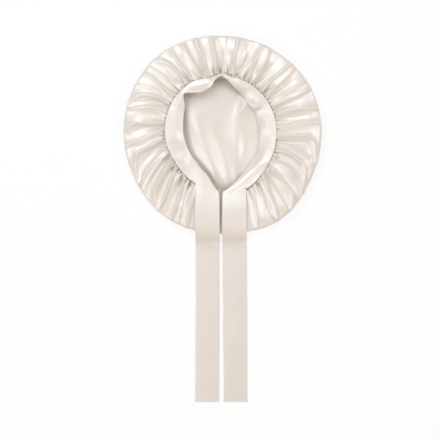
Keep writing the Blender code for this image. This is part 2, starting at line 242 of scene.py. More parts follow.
# The crown isn't quite round as it lies: the rim's radius as a share of RADIUS. RIM_AT_TIES is about
# its share under the ties, which are stretched outwards as much.
Rim = namedtuple("Rim", "deg radius")
RIM = [
    Rim(-90, 1.018),
    Rim(-77, 1.022),
    Rim(-72, 1.030),
    Rim(-66, 1.045),
    Rim(-57, 1.050),
    Rim(-48, 1.042),
    Rim(-42, 1.035),
    Rim(-36, 1.021),
    Rim(-30, 1.012),
    Rim(-20, 1.006),
    Rim(0, 1.007),
    Rim(24, 1.008),
    Rim(34, 1.008),
    Rim(43, 1.002),
    Rim(54, 0.995),
    Rim(66, 0.995),
    Rim(78, 0.992),
    Rim(90, 0.995),
    Rim(99, 1.001),
    Rim(108, 1.010),
    Rim(117, 1.018),
    Rim(127, 1.027),
    Rim(135, 1.024),
    Rim(144, 1.021),
    Rim(153, 1.017),
    Rim(163, 1.010),
    Rim(171, 1.008),
    Rim(180, 1.003),
    Rim(195, 1.001),
    Rim(212, 1.002),
    Rim(222, 1.014),
    Rim(232, 1.020),
    Rim(252, 1.021),
]
RIM_AT_TIES = 1.022

# Valleys and ridges of the gathers: the angles where each leaves the seam, passes half way and meets
# the rim, its strength as a share of the deepest or highest, and the share of the way out at which it
# ends. A valley also has its half width in millimetres. A ridge has how far in degrees it hooks along
# the rim and, unless it starts at the seam, the share of the way out at which it does.
Fold = namedtuple("Fold", "seam middle rim strength width end")
Ridge = namedtuple("Ridge", "seam middle rim hook strength end start", defaults=[0.0])
VALLEYS = [
    Fold(-54.5, -59.5, -66.0, 0.90, 5.5, 0.95),
    Fold(-41.5, -49.0, -54.0, 0.95, 5.5, 0.97),
    Fold(-38.0, -43.5, -46.0, 0.35, 4.0, 0.80),
    Fold(-31.0, -35.0, -39.0, 0.45, 8.0, 0.90),
    Fold(-26.0, -24.0, -28.0, 0.75, 8.5, 0.85),
    Fold(-19.5, -21.5, -26.0, 0.40, 4.0, 0.55),
    Fold(-12.5, -16.0, -18.0, 0.40, 5.0, 0.90),
    Fold(-8.0, -7.0, -5.0, 0.90, 6.0, 0.88),
    Fold(0.0, 0.5, 1.0, 0.40, 5.0, 0.75),
    Fold(7.0, 11.0, 12.5, 0.50, 6.0, 0.80),
    Fold(15.5, 13.0, 14.0, 0.75, 6.5, 0.85),
    Fold(25.0, 24.0, 26.0, 0.95, 5.5, 0.95),
    Fold(32.0, 29.0, 29.0, 0.40, 4.0, 0.75),
    Fold(37.0, 35.7, 38.5, 0.95, 5.5, 0.96),
    Fold(44.0, 44.5, 43.5, 0.60, 4.0, 0.38),
    Fold(50.5, 49.0, 48.5, 0.65, 5.0, 0.50),
    Fold(57.0, 54.0, 54.0, 1.00, 5.0, 0.95),
    Fold(63.5, 63.0, 61.5, 0.40, 4.0, 0.60),
    Fold(69.5, 66.5, 66.0, 0.60, 4.0, 0.48),
    Fold(77.0, 71.5, 70.0, 1.00, 5.5, 0.96),
    Fold(85.0, 84.0, 83.5, 0.45, 4.0, 0.75),
    Fold(92.2, 92.0, 93.0, 0.95, 5.5, 0.88),
    Fold(98.0, 99.5, 102.5, 0.40, 4.5, 0.90),
    Fold(108.5, 110.0, 111.5, 0.95, 5.5, 0.97),
    Fold(116.0, 118.0, 119.0, 0.55, 7.0, 0.78),
    Fold(122.5, 124.0, 128.0, 0.60, 4.5, 0.97),
    Fold(127.5, 130.0, 132.0, 0.45, 7.0, 0.90),
    Fold(139.5, 139.5, 139.0, 0.45, 5.0, 0.90),
    Fold(145.0, 144.0, 145.0, 0.50, 4.5, 0.95),
    Fold(148.0, 149.5, 152.5, 0.40, 4.5, 0.90),
    Fold(153.0, 157.0, 163.0, 0.85, 5.5, 0.97),
    Fold(162.5, 166.0, 169.0, 0.35, 5.0, 0.60),
    Fold(168.0, 171.0, 173.0, 0.35, 4.0, 0.65),
    Fold(173.0, 176.5, 182.0, 0.95, 6.0, 0.95),
    Fold(181.0, 188.0, 192.0, 0.50, 5.0, 0.85),
    Fold(188.0, 198.0, 206.0, 1.00, 9.0, 0.93),
    Fold(195.5, 201.5, 208.0, 0.35, 4.0, 0.60),
    Fold(202.0, 212.0, 219.0, 0.95, 5.5, 0.97),
    Fold(212.5, 222.0, 229.0, 0.80, 5.0, 0.88),
    Fold(219.0, 227.0, 232.5, 0.40, 4.0, 0.65),
    Fold(225.0, 233.0, 235.5, 1.00, 5.5, 0.96),
    Fold(230.5, 238.5, 241.5, 0.35, 4.0, 0.70),
    Fold(236.5, 241.0, 246.0, 0.90, 5.5, 0.92),
    Fold(249.0, 252.0, 254.0, 0.50, 5.0, 0.85),
    Fold(259.0, 261.0, 262.0, 0.50, 5.0, 0.80),
    Fold(270.0, 270.0, 270.0, 0.50, 5.0, 0.80),
    Fold(281.0, 279.0, 278.0, 0.50, 5.0, 0.80),
    Fold(290.0, 287.0, 285.5, 0.60, 5.0, 0.85),
]
RIDGES = [
    Ridge(-62.0, -66.0, -70.0, 0, 0.70, 1.00),
    Ridge(-52.0, -57.0, -61.0, 3, 0.65, 0.98),
    Ridge(-50.0, -53.0, -57.0, -1, 0.90, 1.00),
    Ridge(-39.5, -45.0, -49.0, 0, 0.80, 1.00),
    Ridge(-37.5, -38.5, -42.0, -5, 0.85, 1.00),
    Ridge(-26.5, -28.0, -32.0, -4, 0.90, 1.00),
    Ridge(-13.5, -18.5, -27.0, -9, 1.00, 1.00),
    Ridge(-9.5, -11.5, -13.0, -15, 0.45, 0.70),
    Ridge(-2.0, -1.5, -1.5, -15, 0.90, 1.00),
    Ridge(3.0, 7.0, 6.0, 0, 0.75, 1.00),
    Ridge(22.0, 18.0, 15.0, 0, 0.80, 1.00),
    Ridge(31.0, 27.5, 27.0, 0, 0.75, 0.95),
    Ridge(34.0, 32.5, 32.0, 0, 0.65, 1.00),
    Ridge(41.5, 41.5, 42.0, 0, 0.60, 0.90),
    Ridge(47.5, 47.0, 45.0, 0, 0.80, 1.00),
    Ridge(60.0, 59.0, 60.0, 2, 0.85, 0.98),
    Ridge(65.5, 65.5, 66.5, -2, 0.80, 0.98),
    Ridge(74.5, 74.0, 73.0, 0, 0.40, 0.60),
    Ridge(82.0, 81.0, 80.0, 0, 0.90, 1.00),
    Ridge(88.5, 88.5, 88.0, 0, 0.40, 0.50),
    Ridge(96.0, 96.0, 97.0, 0, 0.90, 1.00),
    Ridge(103.0, 105.0, 106.0, 0, 0.75, 1.00),
    Ridge(111.5, 113.0, 115.0, 0, 0.80, 1.00),
    Ridge(119.5, 121.5, 121.5, 0, 0.65, 0.90),
    Ridge(125.5, 127.0, 131.0, 3, 0.75, 1.00),
    Ridge(134.0, 136.0, 138.0, 0, 0.55, 1.00, 0.10),
    Ridge(142.5, 142.0, 141.0, 0, 0.70, 0.95),
    Ridge(146.0, 147.0, 149.5, 2, 0.40, 1.00, 0.30),
    Ridge(149.0, 152.0, 158.0, 4, 0.90, 1.00),
    Ridge(156.0, 161.0, 167.0, 0, 0.60, 0.90),
    Ridge(171.0, 172.7, 174.5, 4, 0.90, 1.00),
    Ridge(176.0, 183.5, 188.0, 0, 0.65, 0.92),
    Ridge(184.0, 191.5, 194.0, 16, 1.00, 1.00),
    Ridge(194.0, 204.0, 212.0, 0, 0.85, 1.00),
    Ridge(199.0, 208.5, 216.5, 0, 0.50, 0.80),
    Ridge(206.5, 217.0, 224.0, 5, 0.90, 1.00),
    Ridge(216.0, 226.0, 230.0, 0, 0.80, 1.00),
    Ridge(228.0, 236.0, 239.5, 0, 0.85, 1.00),
    Ridge(234.0, 240.0, 243.5, 0, 0.60, 0.95),
    Ridge(243.0, 247.0, 249.0, 0, 0.70, 1.00),
    Ridge(254.0, 256.0, 257.0, 0, 0.70, 1.00),
    Ridge(265.0, 265.5, 266.0, 0, 0.70, 1.00),
    Ridge(275.5, 274.5, 274.0, 0, 0.70, 1.00),
    Ridge(286.0, 283.5, 282.0, 0, 0.70, 1.00),
]

# The upper layer's outline from the seam over the crest to the rim: the share of the way out, and the
# height as a share of the way up from the seam to the crest, or from the rim past the crest.
Outline = namedtuple("Outline", "out rise")
OUTLINE = [
    Outline(0.000, 0.00),
    Outline(0.012, 0.36),
    Outline(0.045, 0.62),
    Outline(0.120, 0.80),
    Outline(0.260, 0.93),
    Outline(0.430, 1.00),
    Outline(0.600, 0.97),
    Outline(0.750, 0.91),
    Outline(0.870, 0.80),
    Outline(0.966, 0.66),
    Outline(0.992, 0.42),
    Outline(1.000, 0.00),
]
CREST = 5

# The band's sections from its right end round to its left one: the seam's angle, and the free inner
# edge's angle, its radius as a share of RADIUS and its height as a share of BAND_LIFT.
Section = namedtuple("Section", "seam inner radius lift")
BAND = [
    Section(-67.4, -89.8, 0.589, 0.74),
    Section(-58.0, -78.0, 0.520, 0.60),
    Section(-50.0, -66.0, 0.458, 0.48),
    Section(-40.0, -50.0, 0.412, 0.40),
    Section(-25.0, -27.6, 0.395, 0.34),
    Section(-10.0, -9.5, 0.370, 0.32),
    Section(3.0, 6.4, 0.362, 0.32),
    Section(14.0, 20.0, 0.374, 0.33),
    Section(23.0, 31.0, 0.384, 0.35),
    Section(30.0, 41.0, 0.388, 0.38),
    Section(38.0, 50.0, 0.396, 0.44),
    Section(50.0, 61.0, 0.433, 0.56),
    Section(62.0, 70.0, 0.460, 0.80),
    Section(72.0, 77.5, 0.489, 1.10),
    Section(82.0, 85.5, 0.545, 1.50),
    Section(90.5, 91.3, 0.580, 1.84),
    Section(98.0, 97.2, 0.548, 1.70),
    Section(105.0, 103.0, 0.489, 1.30),
    Section(113.0, 110.4, 0.471, 1.15),
    Section(122.0, 118.8, 0.472, 1.15),
    Section(130.0, 127.6, 0.514, 1.25),
    Section(136.0, 134.6, 0.553, 1.35),
    Section(142.0, 143.0, 0.479, 1.20),
    Section(152.0, 153.0, 0.440, 1.05),
    Section(165.0, 165.0, 0.412, 0.98),
    Section(180.0, 180.0, 0.393, 0.92),
    Section(195.0, 193.6, 0.384, 0.84),
    Section(208.0, 206.8, 0.383, 0.68),
    Section(220.0, 218.7, 0.385, 0.56),
    Section(230.0, 234.9, 0.404, 0.50),
    Section(236.0, 252.0, 0.458, 0.55),
    Section(241.3, 266.4, 0.589, 0.74),
]

# A tie's edges across from the middle line: shares of the way down, then X of its inner and its outer
# edge in metres.
Edge = namedtuple("Edge", "down inner outer")
TIE_EDGES = {
    "tie_left": [
        Edge(0.00, -0.0050, -0.0447),
        Edge(0.30, -0.0044, -0.0446),
        Edge(1.00, -0.0052, -0.0458),
    ],
    "tie_right": [
        Edge(0.00, -0.0004, 0.0386),
        Edge(0.30, -0.0004, 0.0404),
        Edge(1.00, 0.0014, 0.0414),
    ],
}

# Soft folds of the lower layer, seen through the opening: the two ends of each one's ridge and its
# half width as shares of RADIUS, and its rise as a share of WAVE_HEIGHT.
Wave = namedtuple("Wave", "x0 y0 x1 y1 width rise")
WAVES = [
    Wave(-0.01, -0.52, -0.30, 0.16, 0.095, 1.00),
    Wave(0.15, -0.50, 0.13, 0.12, 0.080, 0.70),
]

# Each slot's satin: its colour, its roughness, and what its colour is multiplied by low in the bag, a
# painted shade that darkens and warms it there.
Satin = namedtuple("Satin", "colour roughness low_tint")
SATINS = {
    "crown_satin": Satin((0.700, 0.645, 0.592), 0.42, (0.91, 0.88, 0.84)),
    "band_satin": Satin((0.705, 0.650, 0.597), 0.42, (0.91, 0.91, 0.91)),
    "tie_satin": Satin((0.745, 0.695, 0.647), 0.44, (0.91, 0.91, 0.91)),
}

# The surround's colour by how far up one looks: bright walls, a dim warm ceiling.
SKY = [
    (0.00, (0.860, 0.765, 0.635, 1)),
    (0.35, (0.450, 0.350, 0.235, 1)),
    (0.90, (0.290, 0.198, 0.105, 1)),
]
SKY_STRENGTH = 0.86

# Square soft lights that look at the crown: bearing counter-clockwise from +X and elevation in degrees,
# distance and size in metres, power in watts.
Light = namedtuple("Light", "name bearing elevation distance size power colour")
LIGHTS = [
    Light("key", 118, 54, 1.8, 1.0, 17.9, (0.80, 0.902, 1.0)),
    Light("right", 12, 49, 1.8, 0.8, 11.1, (0.88, 0.917, 1.0)),
    Light("low_right", -66, 43, 1.8, 0.7, 4.4, (1.0, 0.94, 0.87)),
    Light("low_left", 208, 47, 1.8, 0.8, 10.9, (0.85, 0.907, 1.0)),
    Light("overhead", 90, 86, 3.4, 1.2, 4.6, (0.835, 0.928, 1.0)),
]


class Socket:
    """Shader maths written as Python: an expression on sockets adds its Math nodes."""

    def __init__(self, tree, link):
        self.tree = tree
        self.link = link

    def math(self, operation, other):
        return add_node(self.tree, "ShaderNodeMath", {"operation": operation}, self, other)

    def __add__(self, other):
        return self.math("ADD", other)

    def __mul__(self, other):
        return self.math("MULTIPLY", other)

    def __sub__(self, other):
        return self.math("SUBTRACT", other)


def add_node(tree, kind, settings, *values, output=0, **named):
    """A node of this kind with its settings, then the values or links of its sockets in order or by
    name; gives one of its outputs as a Socket."""
    node = tree.nodes.new(kind)
    for name, value in settings.items():
        if name == "stops":
            set_stops(node.color_ramp, value)
        else:
            setattr(node, name, value)
    wanted = list(enumerate(values)) + [(name.replace("_", " "), v) for name, v in named.items()]
    for key, value in wanted:
        if isinstance(value, Socket):
            tree.links.new(value.link, node.inputs[key])
        else:
            node.inputs[key].default_value = value
    return Socket(tree, node.outputs[output])


def set_stops(ramp, stops):
    """A colour ramp's stops, as (position, colour)."""
    for place, (position, colour) in enumerate(stops):
        stop = ramp.elements[place] if place < 2 else ramp.elements.new(position)
        stop.position = position
        stop.color = colour


def ease(x):
    """A smooth step from 0 to 1."""
    x = np.clip(x, 0.0, 1.0)
    return x * x * (3 - 2 * x)


def through(at, values, x):
    """A smooth curve through the given values: cubic between each two, with averaged slopes. values
    may hold a column for each curve."""
    at, values, x = np.asarray(at, float), np.asarray(values, float), np.asarray(x, float)
    slope = np.gradient(values, at, axis=0)
    i = np.clip(np.searchsorted(at, x, side="right") - 1, 0, len(at) - 2)
    step = at[i + 1] - at[i]
    t = (x - at[i]) / step
    if values.ndim > 1:
        t, step = t[..., None], step[..., None]
    return (
        values[i] * (1 + 2 * t) * (1 - t) ** 2
        + values[i + 1] * t * t * (3 - 2 * t)
        + step * (slope[i] * t * (1 - t) ** 2 - slope[i + 1] * t * t * (1 - t))
    )


def round_table(points, column, deg):
    """A column of a table at any angle; the table is repeated on both sides to close the ring."""
    at = np.array([p.deg for p in points], float)
    values = np.array([getattr(p, column) for p in points], float)
    at = np.concatenate([at - 360, at, at + 360])
    return through(at, np.tile(values, 3), np.asarray(deg, float))


def round_seam(column, deg):
    """A column of SEAM at any angle."""
    return round_table(SEAM, column, deg)


def radius_at(deg, out):
    """The distance from the crown's middle at an angle and a share of the way from seam to rim."""
    return RADIUS * (round_seam("radius", deg) * (1 - out) + round_table(RIM, "radius", deg) * out)


def polar(deg, radius):
    """X and Y about the crown's middle."""
    angle = np.radians(deg)
    return np.stack([radius * np.cos(angle), radius * np.sin(angle)], axis=-1)


def wrapped(deg):
    """An angle brought between -180 and 180 degrees."""
    return (deg + 180) % 360 - 180


def valley_relief(deg, out):
    """The sum of the valleys' reliefs, each from 0 to its strength. Across a valley the relief is
    exp(cusp - sqrt(u^2 + cusp^2)), with u the distance over its half width, so a small cusp gives a
    crease. Its width grows from the seam out, and it comes in over its first tenth and fades at its
    end, a weak one sooner."""
    total = np.zeros_like(deg + out)
    radius = radius_at(deg, out)
    for fold in VALLEYS:
        away = np.radians(wrapped(deg - fold_line(fold, out))) * radius
        width = fold.width * 0.001 * (CREASE_WIDTH + CREASE_WIDENS * out)
        across = np.exp(CREASE_CUSP - np.hypot(away / width, CREASE_CUSP))
        fade = 0.38 - 0.24 * fold.strength
        along = ease((out + 0.02) / 0.10) * ease((fold.end + 0.04 - out) / fade)
        total += fold.strength * across * along
    return total


def fold_line(fold, out):
    """A fold's angle on its way out: the parabola through its three angles."""
    bend = 2 * (fold.seam + fold.rim - 2 * fold.middle)
    return fold.seam + (fold.rim - fold.seam - bend) * out + bend * out * out


def ridge_lines(along):
    """For each ridge, in order of angle, and each share of the way out: its angle, how strongly it
    shows, and how much longer the way round the ring is than the way square to its line, the root of
    1 + slope^2. The last ridge is repeated before the first, and the first after the last."""
    hook = ease((along - HOOK_FROM) / (1 - HOOK_FROM)) ** 1.5
    lines = np.array([fold_line(ridge, along) + ridge.hook * hook for ridge in RIDGES])
    shown = np.array([
        ridge.strength
        * ease((along - ridge.start + 0.02) / 0.1)
        * ease((ridge.end + 0.22 - along) / 0.3)
        for ridge in RIDGES
    ])
    turn = np.radians(np.gradient(lines, along, axis=1))
    steep = np.hypot(1, turn * (SEAM_SHARE / (1 - SEAM_SHARE) + along))
    lines = wrapped(lines)
    order = np.argsort(lines, axis=0)
    lines, shown, steep = (np.take_along_axis(part, order, 0) for part in (lines, shown, steep))
    lines = np.concatenate([lines[-1:] - 360, lines, lines[:1] + 360])
    shown, steep = (np.concatenate([part[-1:], part, part[:1]]) for part in (shown, steep))
    return lines, shown, steep


def panel_relief(deg, out):
    """The ridges and the cloth between them. A ridge stands RIDGE_HEIGHT over its panels and falls
    off as exp(-d / RIDGE_REACH), with d the distance square to its line, rounded by RIDGE_ROUND. From
    one line to the next the panel sags by PANEL_SAG of their distance as 4t(1 - t), and it is lowest
    nearer to the ridge that lies towards LEAN_FROM. Each ridge counts by its own strength."""
    lines, shown, steep = ridge_lines(out[:, 0])
    at = wrapped(deg)[None, None, :]
    before = np.clip((lines[:, :, None] <= at).sum(axis=0) - 1, 0, len(lines) - 2)
    row = np.arange(len(out))[:, None]
    low, high = lines[before, row], lines[before + 1, row]
    t = np.clip((at[0] - low) / np.maximum(high - low, 0.01), 0, 1)
    lean = t ** (1 - PANEL_LEAN * np.sin(np.radians(deg - LEAN_FROM)))
    radius = radius_at(deg, out)
    apart = np.radians(high - low) * radius
    rise = shown[before, row] * (1 - ease(t)) + shown[before + 1, row] * ease(t)
    total = RIDGE_RISE * rise
    for share, ridge in ((t, before), (1 - t, before + 1)):
        distance = np.hypot(share * apart / steep[ridge, row], RIDGE_ROUND) - RIDGE_ROUND
        total += RIDGE_HEIGHT * shown[ridge, row] * np.exp(-distance / RIDGE_REACH)
    mean = (shown[before, row] + shown[before + 1, row]) / 2
    sag = PANEL_SAG * np.minimum(apart, WIDEST_PANEL) * 4 * lean * (1 - lean)
    return total - sag * (0.25 + 0.75 * mean)


def puckers(deg, out):
    """Small gathers at the stitches: valleys a few degrees apart, each with its own strength and
    reach, as exp(-u^2) across, wider and fading on the way out."""
    rng = np.random.default_rng(PUCKER_SEED)
    places = np.cumsum(rng.uniform(*PUCKER_APART, PUCKER_TRIES))
    places = places[places < 358.0]
    depth = rng.uniform(*PUCKER_STRENGTH, len(places))
    reach = PUCKER_REACH + PUCKER_REACH_MORE * rng.uniform(0, 1, len(places)) ** 2
    half = rng.uniform(*PUCKER_HALF, len(places))
    lean = rng.uniform(*PUCKER_LEAN, len(places))
    total = np.zeros_like(deg + out)
    for k in range(len(places)):
        away = wrapped(deg - places[k] - lean[k] * out) / (half[k] * (1 + 4 * out))
        total += depth[k] * np.exp(-away * away) * (1 - out / reach[k]).clip(0, 1) ** 0.7
    return total


def soft_noise(x, y, scale, seed, waves=24):
    """A smooth random field about 0, mostly between -1 and 1: sine waves of random direction, length
    and phase, added up and divided by the root of their number."""
    rng = np.random.default_rng(seed)
    total = np.zeros_like(x)
    for _ in range(waves):
        turn, phase = rng.uniform(0, 2 * np.pi, 2)
        pitch = 2 * np.pi / (scale * rng.uniform(0.6, 1.8))
        total += np.sin(pitch * (x * np.cos(turn) + y * np.sin(turn)) + phase)
    return total / waves ** 0.5


def free_of_ties(xy):
    """How free the upper layer is to rise: 0 under the ties and the gap between them, 1 elsewhere."""
    across = np.abs(xy[..., 0] - GAP_X) / TIES_HALF_WIDTH
    return (ease((across - 0.95) / 0.18) + (xy[..., 1] > 0)).clip(0, 1)


def crown_top(deg):
    """The gathered upper layer: rows by columns by XYZ, from the seam to the rim. OUTLINE is stretched
    between the seam, the crest and the rim at each angle, and the relief of ridges, panels, valleys,
    beads, puckers, ripples and streaks is added upwards. The rim swells outwards at the ridges. Under
    the ties the relief is pressed flat and the rim dips, with a groove at the gap between them."""
    row = np.linspace(0, 1, TOP_ROWS) ** 1.15
    place = row * (len(OUTLINE) - 1)
    knots = np.arange(len(OUTLINE))
    out = through(knots, [p.out for p in OUTLINE], place)[:, None]
    crest = CREST_HEIGHT * round_seam("puff", deg)
    seam = SEAM_HEIGHT * round_seam("height", deg) + CLEARANCE
    heights = [
        (seam if k < CREST else RIM_HEIGHT) * (1 - p.rise) + crest * p.rise
        for k, p in enumerate(OUTLINE)
    ]
    z = through(knots, np.array(heights), place)
    radius = radius_at(deg, out)
    relief = panel_relief(deg, out)
    free = free_of_ties(polar(deg, radius))
    xy = polar(deg, radius + RIM_SWELL * relief[-1] * free[-1] * ease((out - 0.6) / 0.4))
    relief -= CREASE_DEPTH * (1 - CREASE_LOST * ease(out / 0.9)) * valley_relief(deg, out)
    relief += BEAD_RISE * np.exp(-(((out - BEAD_AT) / BEAD_HALF) ** 2))
    relief -= PUCKER_DEPTH * puckers(deg, out)
    relief *= round_seam("depth", deg)
    off_seam = ease(out / 0.2)
    ripple = soft_noise(xy[..., 0], xy[..., 1], RIPPLE_SCALE, RIPPLE_SEED)
    relief += RIPPLE_HEIGHT * ripple * off_seam
    ring = polar(deg, STREAK_RING)
    streak_x, streak_y = (ring[:, k] + STREAK_SLANT[k] * out for k in range(2))
    streak = soft_noise(streak_x, streak_y, STREAK_SCALE, STREAK_SEED)
    relief += STREAK_HEIGHT * streak * off_seam
    at_rim = RIM_RELIEF + (1 - RIM_RELIEF) * ease((1 - out) / 0.04)
    groove = GAP_DEPTH * np.exp(-((xy[..., 0] - GAP_X) / GAP_WIDTH) ** 2) * (xy[..., 1] < 0)
    hollows = np.minimum(relief, 0) * (TIES_HOLLOWS + (1 - TIES_HOLLOWS) * free)
    relief = hollows + np.maximum(relief, 0) * free
    z = z - TIES_DIP * (1 - free) * ease((out - 0.84) / 0.10)
    z = np.maximum(z + relief * at_rim - groove * at_rim, LOWEST_TOP)
    return np.concatenate([xy, z[..., None]], axis=-1)


def tucked_edge(top):
    """The gathered edge's two rows under the band: straight down beside the stitches, then in under
    the band by TUCK."""
    beside = top[0].copy()
    beside[:, 2] -= TUCK_DROP
    under = top[0].copy()
    under[:, :2] *= 1 - TUCK / np.linalg.norm(top[0][:, :2], axis=-1, keepdims=True)
    under[:, 2] -= TUCK_UNDER_DROP
    return np.stack([under, beside])


def rim_and_under(deg, top):
    """The rim's under side: a quarter ellipse from the outermost line in to the lower layer."""
    turn = np.linspace(0, np.pi / 2, RIM_ROWS)[1:, None]
    radius = np.linalg.norm(top[-1, :, :2], axis=-1) - RIM_UNDERCUT * (1 - np.cos(turn))
    z = top[-1, :, 2] * (1 - np.sin(turn))
    return np.concatenate([polar(deg, radius), z[..., None]], axis=-1)


def wave_height(x, y):
    """How far the lower layer's soft folds stand off the surface: a bell across each ridge line,
    which fades past its ends."""
    height = np.zeros_like(x)
    for wave in WAVES:
        along_x, along_y = (wave.x1 - wave.x0) * RADIUS, (wave.y1 - wave.y0) * RADIUS
        from_x, from_y = x - wave.x0 * RADIUS, y - wave.y0 * RADIUS
        length = math.hypot(along_x, along_y)
        share = (from_x * along_x + from_y * along_y) / length**2
        away = (from_x * along_y - from_y * along_x) / (length * wave.width * RADIUS)
        ends = ease((share + 0.3) / 0.6) * ease((1.3 - share) / 0.8)
        height += WAVE_HEIGHT * wave.rise * np.exp(-away * away) * ends
    return height


def lower_layer(deg):
    """The lower layer from near the rim to the middle, rows by columns by XYZ. On the right it comes
    up by a bell of REST_WIDTH to the band's free edge, which lies on it, and stays up a little
    beyond that edge, under the band."""
    share = np.linspace(1, 0, LOWER_ROWS + 1)[1:-1, None] * (1 - RIM_UNDERCUT / RADIUS)
    radius = share * RADIUS
    xy = polar(deg, radius + 0 * deg)
    z = wave_height(xy[..., 0], xy[..., 1])
    inner = [p.inner for p in BAND]
    held = np.clip(deg, inner[0], inner[-1])
    edge = RADIUS * through(inner, [p.radius for p in BAND], held)
    level = BAND_LIFT * through(inner, [p.lift for p in BAND], held)
    level = level - STRIP_THICKNESS / 2 - CLOTH - CLEARANCE
    near = np.exp(-(((radius - edge) / REST_WIDTH) ** 2))
    beyond = np.maximum(near, ease((edge + REST_BEYOND - radius) / REST_FALL))
    near = np.where(radius > edge, beyond, near)
    near = near * ease((deg - REST_SIDE[0]) / REST_FADE[0]) * ease((REST_SIDE[1] - deg) / REST_FADE[1])
    z = z + (np.maximum(level, z) - z) * near
    z = z * ease((FLAT_FROM - share) / FLAT_FADE)
    return np.concatenate([xy, z[..., None]], axis=-1)


def grid_faces(first, rows, columns):
    """Quads of a grid closed round its columns, whose first vertex has this number."""
    i, j = np.meshgrid(np.arange(rows - 1), np.arange(columns), indexing="ij")
    near = first + i * columns
    nxt = (j + 1) % columns
    return np.stack([near + j, near + columns + j, near + columns + nxt, near + nxt], -1).reshape(-1, 4)


def joining_faces(many, few):
    """Triangles from a ring of many vertices to one of a few: half of each fan goes to one vertex of
    the few, half to the next, and one triangle closes the middle."""
    fan = len(many) // len(few)
    k = np.arange(len(few))
    following = few[(k + 1) % len(few)]
    triangles = []
    for step in range(fan):
        here = many[(k * fan + step) % len(many)]
        there = many[(k * fan + step + 1) % len(many)]
        triangles.append(np.stack([here, few if step < fan // 2 else following, there], -1))
    middle = many[k * fan + fan // 2]
    triangles.append(np.stack([middle, few, following], -1))
    return np.concatenate(triangles)


def last_ring(first, rows, columns):
    """The vertices of a grid's last row, whose first vertex has this number."""
    return first + (rows - 1) * columns + np.arange(columns)


def bridge_faces(near, far):
    """Two triangles for each step between two rings of as many vertices."""
    near_next, far_next = np.roll(near, -1), np.roll(far, -1)
    return np.concatenate([
        np.stack([near, far, far_next], -1),
        np.stack([near, far_next, near_next], -1),
    ])


def pole_faces(ring, pole):
    """A fan of triangles from a ring to one vertex."""
    return np.stack([ring, np.full(len(ring), pole), np.roll(ring, -1)], -1)


def make_mesh(name, points, faces):
    """A smooth-shaded object from points about the crown's middle and lists of faces."""
    mesh = bpy.data.meshes.new(name)
    points = np.asarray(points, float).reshape(-1, 3).copy()
    points[:, :2] += CENTRE
    corners = [f for group in faces for f in group.tolist()]
    mesh.from_pydata(points.tolist(), [], corners)
    mesh.shade_smooth()
    mesh.update()
    piece = bpy.data.objects.new(name, mesh)
    bpy.context.scene.collection.objects.link(piece)
    return piece


def inner_skin(full, lower):
    """The cloth's other face at every fourth column: the top moved down and the rim moved in by the
    cloth's thickness, with the lowest of the neighbouring columns taken, so that a pucker between two
    of its columns never comes through it."""
    step = COLUMNS // LOWER_COLUMNS
    near = [np.roll(full[..., 2], shift, axis=1) for shift in range(-step, step + 1)]
    skin = full.copy()
    skin[..., 2] = np.minimum.reduce(near)
    skin = skin[:, ::step]
    turn = np.linspace(0, np.pi / 2, RIM_ROWS)[1:]
    above = np.ones(len(full) - len(turn))
    inwards = CLOTH * np.concatenate([0 * above, np.cos(turn)])
    upwards = CLOTH * np.concatenate([-above, np.sin(turn)])
    skin[..., :2] *= 1 - (inwards / RADIUS)[:, None, None]
    skin[..., 2] += upwards[:, None]
    return skin, lower + np.array([0, 0, CLOTH])


def make_crown():
    """The bag as one closed skin: outside from the tucked edge over the top and the rim to the middle
    of the lower layer, and back inside. The lower layer and the inside have fewer columns."""
    deg = np.linspace(-180, 180, COLUMNS, endpoint=False)
    coarse = deg[:: COLUMNS // LOWER_COLUMNS]
    top = crown_top(deg)
    full = np.concatenate([tucked_edge(top), top, rim_and_under(deg, top)])
    lower = lower_layer(coarse)
    inside, inside_lower = inner_skin(full, lower)
    pole = np.array([[0.0, 0.0, wave_height(np.zeros(1), np.zeros(1))[0]]])
    groups = [full, lower, pole, inside, inside_lower, pole + np.array([[0, 0, CLOTH]])]
    starts = np.cumsum([0] + [g.size // 3 for g in groups])
    points = np.concatenate([g.reshape(-1, 3) for g in groups])
    ring = np.arange(LOWER_COLUMNS)
    full_last = last_ring(starts[0], len(full), COLUMNS)
    lower_last = last_ring(starts[1], len(lower), LOWER_COLUMNS)
    inside_last = last_ring(starts[3], len(inside), LOWER_COLUMNS)
    inside_lower_last = last_ring(starts[4], len(lower), LOWER_COLUMNS)
    faces = [
        grid_faces(starts[0], len(full), COLUMNS),
        joining_faces(full_last, starts[1] + ring),
        grid_faces(starts[1], len(lower), LOWER_COLUMNS),
        pole_faces(lower_last, starts[2]),
        grid_faces(starts[3], len(inside), LOWER_COLUMNS)[:, ::-1],
        bridge_faces(inside_last, starts[4] + ring)[:, ::-1],
        grid_faces(starts[4], len(lower), LOWER_COLUMNS)[:, ::-1],
        pole_faces(inside_lower_last, starts[5])[:, ::-1],
        joining_faces(starts[0] + np.arange(COLUMNS), starts[3] + ring)[:, ::-1],
    ]
    return make_mesh("crown_gathered", points, faces)


def tie_profile(name):
    """The height of a tie's upper face along Y about the crown's middle, read from the frame's solid,
    smoothed over 12 mm and stretched outwards as the crown's rim is."""
    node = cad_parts[name]
    flat = np.empty(len(node.data.vertices) * 3)
    node.data.vertices.foreach_get("co", flat)
    points = flat.reshape(-1, 3)
    y = np.round(points[:, 1] - CENTRE[1], 4)
    levels = np.unique(y)
    top = np.array([points[y == level, 2].max() for level in levels])
    even = np.arange(levels[0], levels[-1], 0.001)
    window = np.hanning(13)
    padded = np.pad(np.interp(even, levels, top), 6, mode="edge")
    return even * RIM_AT_TIES, np.convolve(padded, window / window.sum(), mode="valid")


